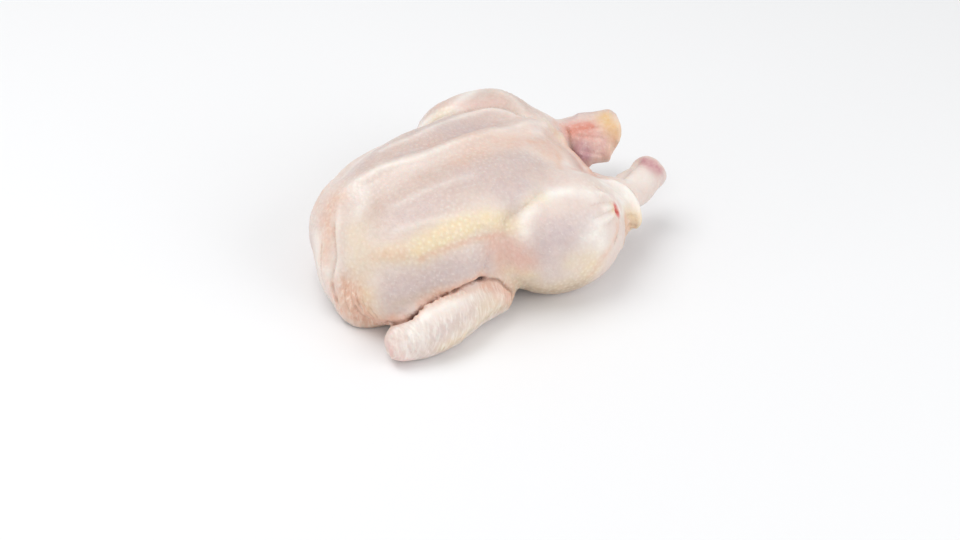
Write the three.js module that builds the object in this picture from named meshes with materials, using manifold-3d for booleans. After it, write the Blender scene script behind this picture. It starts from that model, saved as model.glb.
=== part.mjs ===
// A whole raw chicken, plucked and ready for the oven, lying on its back with the breast up.
// The neck end points along -X and the legs along +X. The neck and the feet are cut off, and
// the wings are folded so that each forearm lies along the side of the body.
//
// The skin is the zero level of a distance field: rounded forms (trunk, breast lobes, thighs,
// drumsticks, wings) that melt into each other, with ridges and hollows laid over them along
// smooth paths. The field is turned into one closed mesh by surface nets.
//
// Millimetres, +Z up. The origin is the middle of the underside of the bounding box.

import * as THREE from "three";
import { mergeVertices } from "three/addons/utils/BufferGeometryUtils.js";
import Module from "manifold-3d";

const wasm = await Module();
wasm.setup();

// ---------------------------------------------------------------- driving dimensions
// Places are [along the bird, across it from its middle, up from the plate].
// Half sizes are those of an ellipsoid, and turns are degrees about X, Y and Z.
// A stop of a limb is a place and the limb's radius there.

const TRUNK = { centre: [-13, 0, 46], half: [94, 62, 50] };
const BREAST_LOBE = { centre: [-30, 26, 58], half: [76, 40, 37], turn: [0, -4, 1] };
const RUMP = { centre: [50, 0, 38], half: [47, 44, 41], turn: [0, 12, 0] };
const NECK_ROLL = [
  [-97, -19, 16, 24.5],
  [-97, 0, 26, 22.5],
  [-87, 24, 36, 25],
];

const THIGH = { centre: [41, 60, 34], half: [49, 33, 37], turn: [0, 0, 8] };
const DRUMSTICK = [
  [14, 58, 53, 27],
  [54, 52, 51, 28],
  [94, 45, 42, 16],
  [108, 44, 41, 13],
];
const FAR_THIGH = { centre: [42, 59.5, 48], half: [40, 33.3, 41], turn: [0, 0, 16] }; // drawn up higher and further back
const FAR_DRUMSTICK = [
  [26, 59, 61, 27],
  [62, 53, 60, 28],
  [93, 46, 48, 18],
  [108, 44, 42, 13],
];
const HOCK_SKIN = { centre: [100, 60, 36], half: [12, 10.5, 13] }; // bunched skin under the shank
const SHANK = [
  [106, 44, 40, 11],
  [124, 38, 41, 12],
  [147, 29, 41.5, 14.5],
];
const FAR_SHANK = [
  [105, 44, 40, 11],
  [124, 37, 41, 15],
  [153.1, 23.8, 45, 18],
];
const SHANK_CUT = 4; // from the last stop to the cut end

const FLAP_RIM = [
  [106, -46, 41, 9],
  [98, -24, 46, 5.5],
  [94, 0, 51, 5],
  [93, 18, 57, 6],
  [92, 38, 54, 10],
];
const BELLY_SKIN = [
  [64, 22, 74, 12],
  [82, 28, 68, 10],
  [91, 24, 61, 6],
];
const VENT = { centre: [102, 0, 32], half: [28, 26, 12] };
const TAIL = { centre: [92, 0, 13], half: [24, 17, 11] };

const NEAR_WING = [
  [-86, -43, 31, 23],
  [-50, -50, 42, 22],
  [-16, -54, 36, 18],
];
const NEAR_FOREARM = [
  [-22, -66, 18, 17],
  [-60, -71, 18, 17],
  [-82, -72.5, 17, 17],
  [-101, -74, 14, 14],
];
const FAR_WING = [
  [-80, 38, 34, 18],
  [-46, 50, 36, 20],
  [-10, 60, 34, 18],
];
const FAR_FOREARM = [
  [-8, 68, 18, 17],
  [-34, 64, 17, 16],
  [-66, 52, 15, 14],
];

// Ridges (+) and hollows (-) of the skin: the path they follow, their half width and height.
const KEEL = {
  path: [[-97, 15, 78], [-76, 15, 90], [-49, 12, 98], [-10, 6, 100], [21, 13, 96], [50, 25, 85]],
  width: 7,
  height: 3,
};
const KEEL_HOLLOW = {
  path: [[-28, 20, 98], [0, 23, 96], [29, 31, 91], [60, 36, 84]],
  width: 9,
  height: -3,
};
const THIGH_VALLEY = {
  path: [[4, -61, 79], [-9, -67, 71], [-21, -70, 58], [-34, -74, 42]],
  width: 9,
  height: -3.5,
};
const FOREARM_CREASE = {
  path: [[-104, -66, 25], [-98, -69, 27], [-92, -72, 29], [-70, -71, 37], [-48, -75, 42],
    [-32, -73, 39], [-18, -77, 30], [-12, -80, 14]],
  width: 6,
  height: -3,
};
const NECK_FOLD = {
  path: [[-112, -3, 60], [-118, -13, 47], [-119, -20, 34], [-116, -28, 20], [-108, -38, 10]],
  width: 5,
  height: -3,
};

// How far two forms melt into each other where they meet.
const MELT = { trunk: 22, wing: 14, leg: 15, shank: 6, forearm: 6, rim: 9, vent: 6 };
// How far the stretches of one form melt into each other.
const INNER_MELT = { limb: 14, leg: 16, neck: 10, flap: 6 };
const SHANK_EDGE = 4; // how far the edge of a cut shank is rounded
const TINY = 1e-9;

const CELL = 5.6; // edge of a cell of the mesh
const JUST_INSIDE = -1e-3; // the field's value in a cell that is filled
const SURFACE_PASSES = 3; // times that a point of the mesh is moved onto the surface
const SLOPE_STEP = 0.05; // step over which the field's slope is measured
const REACH = { low: [-140, -125, -24], high: [170, 125, 122] }; // the block that is meshed

// ---------------------------------------------------------------- distance fields
// A field takes x, y, z and gives the distance to the surface, negative inside.

function meltIn(a, b, k) {
  const h = Math.max(k - Math.abs(a - b), 0) / k;
  return Math.min(a, b) - (h * h * k) / 4;
}

function carveOut(a, b, k) {
  return -meltIn(-a, b, k);
}

function ellipsoid({ centre, half, turn = [0, 0, 0] }) {
  const angles = turn.map(THREE.MathUtils.degToRad);
  const unturn = new THREE.Quaternion().setFromEuler(new THREE.Euler(...angles, "ZYX")).invert();
  const p = new THREE.Vector3();
  const [a, b, c] = half;
  return (x, y, z) => {
    p.set(x - centre[0], y - centre[1], z - centre[2]).applyQuaternion(unturn);
    const k0 = Math.hypot(p.x / a, p.y / b, p.z / c);
    const k1 = Math.hypot(p.x / (a * a), p.y / (b * b), p.z / (c * c));
    return k1 < TINY ? -Math.min(a, b, c) : (k0 * (k0 - 1)) / k1;
  };
}

// How far along the stretch from s to e the point lies (0 to 1), and its distance from it.
function nearest(s, e, x, y, z) {
  const [bx, by, bz] = [e[0] - s[0], e[1] - s[1], e[2] - s[2]];
  const along = (x - s[0]) * bx + (y - s[1]) * by + (z - s[2]) * bz;
  const t = THREE.MathUtils.clamp(along / (bx * bx + by * by + bz * bz), 0, 1);
  return [t, Math.hypot(x - s[0] - bx * t, y - s[1] - by * t, z - s[2] - bz * t)];
}

function limb(stops, k = INNER_MELT.limb) {
  return (x, y, z) => {
    let d = Infinity;
    for (let i = 0; i + 1 < stops.length; i++) {
      const [s, e] = [stops[i], stops[i + 1]];
      const [t, away] = nearest(s, e, x, y, z);
      d = meltIn(d, away - s[3] - (e[3] - s[3]) * t, k);
    }
    return d;
  };
}

// The same form on the other side: side is -1 (near) or 1 (far).
function onSide(side, form) {
  if (Array.isArray(form)) return form.map(([x, y, z, r]) => [x, side * y, z, r]);
  const [tx, ty, tz] = form.turn ?? [0, 0, 0];
  const [x, y, z] = form.centre;
  return { ...form, centre: [x, side * y, z], turn: [side * tx, ty, side * tz] };
}

function leg(side, thigh, drumstick) {
  const upper = ellipsoid(onSide(side, thigh));
  const lower = limb(onSide(side, drumstick));
  return (x, y, z) => meltIn(upper(x, y, z), lower(x, y, z), INNER_MELT.leg);
}

const FOLD_STEPS = 8; // straight stretches for each point of a fold's path

// How far a ridge or hollow lifts the skin at a point.
function fold({ path, width, height }) {
  const curve = new THREE.CatmullRomCurve3(path.map((p) => new THREE.Vector3(...p)));
  const points = curve.getPoints(FOLD_STEPS * path.length).map((p) => p.toArray());
  return (x, y, z) => {
    let away = Infinity;
    for (let i = 0; i + 1 < points.length; i++)
      away = Math.min(away, nearest(points[i], points[i + 1], x, y, z)[1]);
    return height * Math.exp(-((away / width) ** 2));
  };
}

function shank(stops) {
  const [from, to] = stops.slice(-2).map((stop) => new THREE.Vector3(...stop));
  const way = to.clone().sub(from).normalize();
  const end = to.dot(way) + SHANK_CUT;
  const round = limb(stops);
  const beyond = (x, y, z) => x * way.x + y * way.y + z * way.z - end;
  return (x, y, z) => carveOut(round(x, y, z), -beyond(x, y, z), SHANK_EDGE);
}

const trunk = [TRUNK, RUMP, onSide(-1, BREAST_LOBE), onSide(1, BREAST_LOBE), TAIL].map(ellipsoid);
trunk.push(limb(NECK_ROLL, INNER_MELT.neck));
const wings = [NEAR_WING, FAR_WING].map((stops) => limb(stops));
const forearms = [NEAR_FOREARM, FAR_FOREARM].map((stops) => limb(stops));
const legs = [leg(-1, THIGH, DRUMSTICK), leg(1, FAR_THIGH, FAR_DRUMSTICK)];
const hocks = [-1, 1].map((side) => ellipsoid(onSide(side, HOCK_SKIN)));
const shanks = [shank(onSide(-1, SHANK)), shank(FAR_SHANK)];
const flapRim = [FLAP_RIM, BELLY_SKIN].map((stops) => limb(stops, INNER_MELT.flap));
const vent = ellipsoid(VENT);
const folds = [KEEL, KEEL_HOLLOW, THIGH_VALLEY, FOREARM_CREASE, NECK_FOLD].map(fold);

function bird(x, y, z) {
  const melt = (forms, start, k) => forms.reduce((d, form) => meltIn(d, form(x, y, z), k), start);
  let d = melt(trunk.slice(1), trunk[0](x, y, z), MELT.trunk);
  d = melt(wings, d, MELT.wing);
  d = melt(legs, d, MELT.leg);
  d = melt(flapRim, d, MELT.rim);
  d = carveOut(d, vent(x, y, z), MELT.vent);
  d = melt([...shanks, ...hocks], d, MELT.shank);
  d = melt(forearms, d, MELT.forearm);
  return folds.reduce((sum, lift) => sum - lift(x, y, z), d);
}

// ---------------------------------------------------------------- surface nets

function ticks(low, high, step) {
  const n = Math.ceil((high - low) / step);
  return Array.from({ length: n + 1 }, (_, i) => low + ((high - low) * i) / n);
}

const CORNERS = [0, 1, 2, 3, 4, 5, 6, 7].map((n) => [n >> 2, (n >> 1) & 1, n & 1]);

// How many groups the corners in the mask (one bit each) form along the edges of the cube.
function groups(mask) {
  let left = mask;
  let count = 0;
  while (left) {
    let front = left & -left;
    for (let grown = front; grown; ) {
      front |= grown;
      left &= ~front;
      grown = CORNERS.reduce((bits, _, n) => {
        const beside = [1, 2, 4].some((axis) => front & (1 << (n ^ axis)));
        return beside && left & (1 << n) ? bits | (1 << n) : bits;
      }, 0);
    }
    count++;
  }
  return count;
}

// Where two sheets of skin would share one cell, the cell is filled, so that the mesh stays
// one closed surface with no pinched point.
function fillPinches(value, [nx, ny, nz], at) {
  const pinched = Array.from({ length: 256 }, (_, m) => groups(m) > 1 || groups(255 ^ m) > 1);
  for (let filled = true; filled; ) {
    filled = false;
    for (let i = 0; i + 1 < nx; i++)
      for (let j = 0; j + 1 < ny; j++)
        for (let k = 0; k + 1 < nz; k++) {
          const cells = CORNERS.map(([a, b, c]) => at(i + a, j + b, k + c));
          const mask = cells.reduce((m, cell, n) => (value[cell] < 0 ? m | (1 << n) : m), 0);
          if (!pinched[mask]) continue;
          const outside = cells.filter((cell) => value[cell] >= 0);
          const nearestOne = outside.reduce((a, b) => (value[a] < value[b] ? a : b));
          value[nearestOne] = JUST_INSIDE;
          filled = true;
        }
  }
}

// The point of a cell where the field is zero: the mean of the crossings on its edges, moved
// along the gradient until it lies on the surface.
function onSurface(field, start, limit) {
  const p = [...start];
  for (let pass = 0; pass < SURFACE_PASSES; pass++) {
    const d = field(...p);
    const ahead = (axis) => field(...p.map((v, n) => (n === axis ? v + SLOPE_STEP : v)));
    const slope = p.map((_, axis) => (ahead(axis) - d) / SLOPE_STEP);
    const steep = slope[0] ** 2 + slope[1] ** 2 + slope[2] ** 2 + TINY;
    for (let m = 0; m < 3; m++) {
      const moved = p[m] - (d * slope[m]) / steep;
      p[m] = THREE.MathUtils.clamp(moved, start[m] - limit, start[m] + limit);
    }
  }
  return p;
}

function surfaceNets(field, axes) {
  const [nx, ny, nz] = axes.map((a) => a.length);
  const at = (i, j, k) => (i * ny + j) * nz + k;
  const value = new Float64Array(nx * ny * nz);
  for (let i = 0; i < nx; i++)
    for (let j = 0; j < ny; j++)
      for (let k = 0; k < nz; k++) value[at(i, j, k)] = field(axes[0][i], axes[1][j], axes[2][k]);
  fillPinches(value, [nx, ny, nz], at);

  const vertex = new Int32Array(nx * ny * nz).fill(-1);
  const positions = [];
  const crossing = (a, b, sum) => {
    const [va, vb] = [value[at(...a)], value[at(...b)]];
    if (va < 0 === vb < 0) return;
    const t = va / (va - vb);
    for (let m = 0; m < 3; m++) sum[m] += axes[m][a[m]] + (axes[m][b[m]] - axes[m][a[m]]) * t;
    sum[3]++;
  };
  for (let i = 0; i + 1 < nx; i++)
    for (let j = 0; j + 1 < ny; j++)
      for (let k = 0; k + 1 < nz; k++) {
        const sum = [0, 0, 0, 0];
        for (const a of [0, 1])
          for (const b of [0, 1]) {
            crossing([i, j + a, k + b], [i + 1, j + a, k + b], sum);
            crossing([i + a, j, k + b], [i + a, j + 1, k + b], sum);
            crossing([i + a, j + b, k], [i + a, j + b, k + 1], sum);
          }
        if (!sum[3]) continue;
        vertex[at(i, j, k)] = positions.length;
        const mean = sum.slice(0, 3).map((v) => v / sum[3]);
        positions.push(onSurface(field, mean, CELL / 2));
      }

  const triangles = [];
  const quad = (ring, inward) => {
    const [a, b, c, d] = (inward ? ring.reverse() : ring).map((cell) => vertex[at(...cell)]);
    const span = (m, n) => Math.hypot(...positions[m].map((v, i) => v - positions[n][i]));
    if (span(a, c) < span(b, d)) triangles.push(a, b, c, a, c, d);
    else triangles.push(a, b, d, b, c, d);
  };
  for (let i = 1; i + 1 < nx; i++)
    for (let j = 1; j + 1 < ny; j++)
      for (let k = 1; k + 1 < nz; k++) {
        const inside = value[at(i, j, k)] < 0;
        const turns = (n) => inside !== value[n] < 0;
        if (turns(at(i + 1, j, k)))
          quad([[i, j - 1, k - 1], [i, j, k - 1], [i, j, k], [i, j - 1, k]], !inside);
        if (turns(at(i, j + 1, k)))
          quad([[i - 1, j, k - 1], [i - 1, j, k], [i, j, k], [i, j, k - 1]], !inside);
        if (turns(at(i, j, k + 1)))
          quad([[i - 1, j - 1, k], [i, j - 1, k], [i, j, k], [i - 1, j, k]], !inside);
      }
  return { positions: positions.flat(), triangles };
}

// ---------------------------------------------------------------- solids

function solidOf(positions, triangles) {
  const vertProperties = new Float32Array(positions);
  return new wasm.Manifold(
    new wasm.Mesh({ numProp: 3, vertProperties, triVerts: new Uint32Array(triangles) }),
  );
}

// What lies under the plate's surface is cut off, which leaves the flat spots it rests on.
function restingOnPlate(solid) {
  const [length, width, depth] = [400, 300, 60];
  const box = new THREE.BoxGeometry(length, width, depth).translate(0, 0, -depth / 2);
  box.deleteAttribute("normal");
  box.deleteAttribute("uv");
  const plate = mergeVertices(box);
  return solid.subtract(solidOf(plate.attributes.position.array, plate.index.array));
}

function geometryOf(solid) {
  const { vertProperties, triVerts } = solid.getMesh();
  const geometry = new THREE.BufferGeometry();
  geometry.setAttribute("position", new THREE.BufferAttribute(vertProperties, 3));
  geometry.setIndex(new THREE.BufferAttribute(triVerts, 1));
  return geometry;
}

const axes = [0, 1, 2].map((m) => ticks(REACH.low[m], REACH.high[m], CELL));
const { positions, triangles } = surfaceNets(bird, axes);
const body = geometryOf(restingOnPlate(solidOf(positions, triangles)));
body.computeBoundingBox();
const middle = body.boundingBox.getCenter(new THREE.Vector3());
body.translate(-middle.x, -middle.y, -body.boundingBox.min.z);
body.computeVertexNormals();

const rawSkin = new THREE.MeshStandardMaterial({ color: 0xe6cfc2, roughness: 0.42, metalness: 0 });
const chicken = new THREE.Mesh(body, rawSkin);
chicken.name = "chicken";

const group = new THREE.Group();
group.add(chicken);

export default group;
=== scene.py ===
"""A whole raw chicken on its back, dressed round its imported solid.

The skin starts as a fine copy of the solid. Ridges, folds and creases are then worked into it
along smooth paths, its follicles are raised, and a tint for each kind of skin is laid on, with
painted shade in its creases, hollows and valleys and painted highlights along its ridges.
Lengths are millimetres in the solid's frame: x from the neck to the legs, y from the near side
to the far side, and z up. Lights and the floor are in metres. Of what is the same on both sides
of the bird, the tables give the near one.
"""
import itertools

import bpy
import numpy as np
from mathutils import Matrix, Vector
from mathutils.kdtree import KDTree


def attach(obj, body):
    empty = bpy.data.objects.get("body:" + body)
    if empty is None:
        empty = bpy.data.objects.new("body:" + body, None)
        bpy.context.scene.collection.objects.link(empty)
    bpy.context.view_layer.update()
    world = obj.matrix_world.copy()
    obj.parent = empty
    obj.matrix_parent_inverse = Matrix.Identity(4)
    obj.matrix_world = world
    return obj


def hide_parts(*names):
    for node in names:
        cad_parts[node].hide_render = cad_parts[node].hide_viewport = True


MM = 0.001  # metres in a millimetre

# ---- the skin mesh ----
MERGE = 0.01  # the solid's corners closer than this are one point
ROUND_LEVELS = 2  # subdivisions that round the solid's facets off
VOXEL = 0.85  # size of the fine mesh's cells
FACE_LIMIT = 190000  # triangles that the finished skin may have
EVEN_ROUNDS = 14  # rounds of smoothing that take the solid's facets out
LAST_ROUNDS = 1  # rounds of smoothing once all forms are in
SHRINK = 0.5  # how far a round draws a point to the middle of its neighbours
REGROW = 0.53  # how far it then moves it away again, so that nothing shrinks

# ---- how a form is worked in along its path ----
PATH_STEP = 0.8  # distance between the places that stand for a path
SWELL_REACH = 3  # how far a swell reaches, in its widths
CREASE_REACH = 5  # how far a crease reaches
PATCH_REACH = 2.6  # how far a patch of tint reaches
SWELL_FADE = 0.15  # share of the path over which a swell rises at each end
CREASE_FADE = 0.12  # the same for a crease and for its line of painted shade
CREASE_POWER = 1.4  # a crease's form: 1 is a sharp V, 2 a round hollow
PULL = 0.35  # share of the way to a crease that the skin beside it moves
PULL_WIDTH = 2.2  # how wide the moved skin is, in widths of the crease
CREASE_SHADE_WIDTH = 1.1  # how wide a crease's line of painted shade is, in widths of the crease

# ---- cut shanks ----
SHANK_REACH = 26  # nothing further from the middle of a cut belongs to its shank
CUT_SHARE = 0.95  # share of what lies past the cut that comes off
BONE_RISE = 1.0  # how far the bone stands out of the cut
GROOVE_DEPTH = 0.7  # the groove round the bone
GROOVE_WIDTH = 1.8
RAGGED_SIZE = 5  # lumps that make the edges of bone and meat uneven
RAGGED = 0.15  # how much the bone's radius varies with them
SHOWN_MOST = 0.9  # how strongly bone and meat show where they show most

# ---- the body opening, where meat shows ----
OPENING = (64, 0, 40)
OPENING_HALF = (20, 25, 17)  # half its size along x, y and z

# ---- fine relief ----
UNEVEN = [(14, 0.30, 5), (6, 0.20, 6), (2.6, 0.10, 7)]  # lumps: size, height, seed
LUMP_TABLE = 32  # random values along each edge of the lumps' table
WRINKLE_SIZE = 2.4
WRINKLE_HEIGHT = 0.95
WRINKLE_SQUEEZE = (1, 1, 0.25)  # makes wrinkles four times as tall as wide
FOLLICLE_SPACING = 3.3
FOLLICLE_RADIUS = 1.05
FOLLICLE_HEIGHT = 0.30
FOLLICLE_TRIES = 60000  # places on the skin that follicles are chosen from
FOLLICLE_ROUNDS = 3  # rounds that even out the distances between follicles
FOLLICLE_AREA = 22  # size of the areas where they show more or less

# ---- forearms and the feather rows round them ----
FOREARM = [(-40, -77, 20), (-64, -81, 22), (-90, -84, 20), (-126, -83, 16)]  # the near one's middle
FOREARM_RADIUS = 24  # from there to the end of its own skin
FOREARM_BLUR = 4  # width over which that skin ends
FLANK = 70  # distance from the bird's middle where a forearm starts
ELBOW = (-33, 5)  # x where the rows start, and the length over which they do
SEAM_TOP = (-50, 37)  # x and z of the seam's highest place
SEAM_FALL = 0.06  # how much lower it is for each millimetre from there
SEAM_BLUR = 3
ROW_SPACING = 3.1
ROW_LEAN = 0.35  # how far a row leans for each millimetre up
ROW_WAVE = (1.6, 8)  # how far a row wanders, and over what length
ROW_HEIGHT = 0.12
ROW_FOOT = (3, 8)  # z where the rows start, and the height over which they do
KNOT_SPACING = 4.6  # knots along a row
KNOT_SHIFT = 2.4  # turn in radians from one row's knots to the next row's
KNOT_HEIGHT = 0.14
STREAK_SIZE = 1.5  # fine streaks along the rows
STREAK_STRETCH = 3.5  # how many times as long as wide they are
STREAK_HEIGHT = 0.30

# ---- stubs: short ridges along the forearm's torn edge; ranges are least and most ----
STUB_STEP = 4  # places of the seam from one stub to the next
STUB_LEAN = (-2, 2)
STUB_FOOT = -4.5  # from the seam outwards and down to a stub's start
STUB_IN = 1.0  # from the seam inwards to its end
STUB_UP = (0.5, 3.0)
STUB_WIDTH = 1.1
STUB_HEIGHT = (0.8, 2.8)

# ---- seeds of what is drawn at random ----
SEEDS = {
    "follicles": 11, "follicle areas": 8, "row wave": 21, "streaks": 22, "stubs": 31,
    "wrinkles": 33, "ragged edges": 41,
}

# ---- camera ----
CAMERA_PLACE = (-654.8, -893.3, 813.8)
CAMERA_RIGHT = (0.825331, -0.563299, 0.039013)
CAMERA_UP = (0.313796, 0.515011, 0.797682)
CAMERA_LENS = 68.925  # on a film of CAMERA_FILM's width
CAMERA_FILM = 36.0
CAMERA_START = 0.01  # metres before it that it doesn't see

# ---- stage ----
FLOOR_SIZE = 8
FLOOR_COLOUR = (0.88, 0.885, 0.895)
FLOOR_ROUGHNESS = 0.6
SKY_COLOUR = (1, 1, 1)
SKY_STRENGTH = 0.6
LIGHTS = {  # place, what it looks at, size, power in watts
    "key": ((-0.45, 0.35, 1.5), (0, 0, 0.05), 1.1, 11.5),
    "fill": ((0.7, -1.4, 0.9), (0, 0, 0.05), 1.4, 10.8),
    "neck light": ((-1.2, 0.2, 0.3), (-0.12, 0, 0.04), 0.4, 1.3),
}

# ---- paths that more than one table uses ----
KEEL = [(-118, 19, 80), (-96, 13, 92), (-78, 8, 97), (-60, 3, 100), (-44, 2, 102), (-27, 3, 102),
        (-8, 5, 99), (14, 11, 93), (36, 17, 86), (62, 20, 78)]
FAR_RIDGE = [(-74, 33, 94), (-53, 30, 97), (-34, 33, 97), (-8, 42, 92), (22, 46, 87), (39, 39, 86),
             (52, 31, 82)]
TRACT = [(-122, -36, 62), (-110, -48, 68), (-96, -55, 72), (-72, -59, 79), (-49, -61, 80), (-31, -64, 72)]
TRACT_TOP = [(-107, -38, 79), (-91, -45, 83), (-71, -52, 85), (-50, -57, 84), (-31, -61, 78)]
NECK_EDGE = [(-120, 14, 77), (-126, 4, 66), (-131, -3, 56), (-135, -8, 48), (-137, -13, 40), (-138, -17, 31),
             (-137, -26, 25), (-134, -34, 17), (-127, -39, 10)]
NECK_VALLEY = [(-126, 10, 68), (-130, 3, 59), (-135, -7, 48), (-139, -10, 39), (-141, -11, 30),
               (-141, -17, 20), (-139, -27, 10)]
NECK_FOLD = [(-131, 15, 61), (-135, 7, 51), (-139, 3, 43), (-142, -5, 31), (-142, -12, 23), (-141, -20, 14)]
FOREARM_SEAM = [(-124, -50, 10), (-122, -60, 20), (-119, -69, 27), (-112, -74, 32), (-104, -71, 35),
                (-96, -71, 35), (-91, -70, 37), (-83, -71, 38), (-73, -73, 41), (-62, -72, 40),
                (-54, -70, 38)]
TORN_EDGE = FOREARM_SEAM[3:9]  # where the stubs stand
ELBOW_SEAM = [(-54, -70, 38), (-49, -71, 36), (-42, -72, 33), (-37, -75, 28), (-31, -77, 21), (-29, -78, 12)]
WING_LINE = [(-53, -70, 42), (-52, -70, 49), (-47, -68, 57)]
LEG_VALLEY = [(27, -41, 83), (15, -48, 84), (3, -55, 83), (-7, -59, 82), (-14, -60, 79), (-22, -61, 77),
              (-30, -62, 75), (-34, -65, 67)]
BELLY_RIM = [(92, 37, 57), (79, 21, 63), (75, 10, 61), (75, 0, 58), (76, -10, 55), (75, -21, 55),
             (66, -40, 64)]
CUFF_RIM = [(66, -48, 66), (73, -50, 63), (81, -55, 57), (86, -61, 49), (85, -66, 44), (84, -70, 39),
            (79, -68, 29)]
NECK_SKIN = [(-119, 19, 77), (-125, 18, 70), (-129, 15, 63), (-134, 8, 55), (-139, 3, 43)]
NECK_FOOT = [(-141, -11, 29), (-141, -16, 19), (-140, -22, 12)]
SLIT = [(57, -75.8, 62.5), (57.3, -77, 60), (57.4, -78, 58)]
KNOB = [(74, -71, 42), (76, -69, 45), (80, -70, 42), (82, -70, 37), (78, -70, 33)]
FAR_SHANK_FOOT = [(99, 30, 54), (108, 22, 52), (114, 14, 46)]
NEAR_SHANK_EDGE = [(88, -41, 59), (96, -35, 56), (104, -31, 54), (113, -27, 53), (121, -24, 53)]

# ---- cuts of the shanks: place on the cut, way out, radius of the bone ----
SHANK_ENDS = [
    ((129.4, -28.1, 41.6), (0.93, 0.364, 0.02), 4.5),  # near
    ((134.9, 21.5, 44), (0.70, -0.60, -0.38), 6),  # far
]

# ---- soft forms: path, width, height (out of the skin, or into it where negative) ----
SWELLS = {
    "keel": (KEEL, 4, 1.7),
    "beside the keel": ([(-84, 20, 95), (-49, 15, 100), (-18, 21, 98), (8, 28, 93), (30, 34, 85)], 6, -2.8),
    "far breast ridge": (FAR_RIDGE, 4.5, 1.4),
    "far shoulder": ([(-112, 34, 76), (-93, 43, 82), (-72, 50, 85), (-48, 56, 83), (-30, 60, 78)], 11, -3.2),
    "fat tract": (TRACT, 7.5, 2),
    "skin fold over the tract": (TRACT_TOP, 2.6, 0.6),
    "far leg ridge": ([(44, 61, 92), (50, 50, 91), (54, 39, 86), (60, 29, 80)], 3.4, 1),
    "breast's long fold": ([(-97, -23, 88), (-79, -26, 94), (-60, -29, 97), (-41, -32, 98)], 3, 0.35),
    "neck edge": (NECK_EDGE, 3.6, 1.6),
    "outer neck fold": (NECK_FOLD, 3.6, 0.8),
    "first neck wrinkle": ([(-140, -21, 30), (-139, -28, 22), (-136, -35, 14), (-131, -40, 8)], 1.4, 0.7),
    "second neck wrinkle": ([(-136, -28, 33), (-134, -36, 25), (-130, -42, 18), (-125, -45, 12)], 1.4, 0.8),
    "third neck wrinkle": ([(-133, -36, 33), (-129, -43, 25), (-125, -48, 18)], 1.4, 0.7),
    "leg ridge": ([(46, -78, 66), (50, -82, 59), (47, -86, 54), (42, -90, 46), (33, -92, 38)], 3, 1),
    "belly skin's edge": (BELLY_RIM, 2.4, 1.6),
    "near wrist's tip": ([(-133, -76, 9), (-133, -82, 9), (-128, -87, 9)], 4.5, 1.6),
    "near wrist's top": ([(-124, -72, 26), (-130, -76, 20)], 4.5, 1.5),
    "cuff": (CUFF_RIM, 3, 2.6),
    "cuff's upper lip": ([(57, -62, 73), (66, -62, 66), (74, -64, 58), (78, -69, 50)], 2.2, 1.2),
    "fold below the slit": ([(58, -79, 58), (54, -84, 53), (49, -88, 47)], 1.8, 1.4),
    "slit": (SLIT, 2.2, -2.2),
    "knob": ([(78, -71, 44), (80, -71, 38), (79, -71, 32)], 5.2, 1.6),
    "fold above the slit": ([(44, -70, 76), (52, -71, 71), (56, -71, 67)], 1.7, 1.5),
    "fold before the slit": ([(42, -80, 69), (50, -78, 66), (55, -76, 63)], 1.7, 1.3),
    "second fold before the slit": ([(38, -85, 62), (47, -82, 62), (55, -78, 61)], 1.6, 1),
    "fold under the knob": ([(76, -72, 31), (72, -76, 25), (66, -80, 20)], 4, 2.4),
    "far shank's upper edge": ([(106, 41, 58), (117, 40, 62), (128, 34, 64), (133, 26, 63)], 4, 2.6),
    "near shank": ([(85, -39, 59), (92, -35, 55), (99, -32, 54), (108, -27, 53), (121, -22, 51)], 6.5, -5),
    "far shank's torn rim": ([(131, 20, 61), (129, 12, 56), (126, 8, 45), (124, 12, 34)], 2, 1.2),
    "far shank's belly": ([(90, 21, 40), (100, 16, 37), (110, 11, 35), (122, 7, 36)], 8, 7),
    "near forearm's underside": ([(-34, -80, 12), (-50, -87, 11), (-66, -90, 9), (-84, -91, 8)], 8.5, -2.6),
    "flap below the far shank": ([(92, 24, 38), (99, 20, 32), (106, 16, 30)], 3.4, 3),
}
SWELLS_BOTH = {
    "wing's lower edge": ([(x, y - 1, z + 5) for x, y, z in FOREARM_SEAM[3:]], 2.8, 1.3),
    "forearm's top": ([(x, y - 4, z - 4) for x, y, z in FOREARM_SEAM[3:]], 2.6, 0.9),
    "breast and leg": (LEG_VALLEY, 5.5, -1.8),
}
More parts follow.
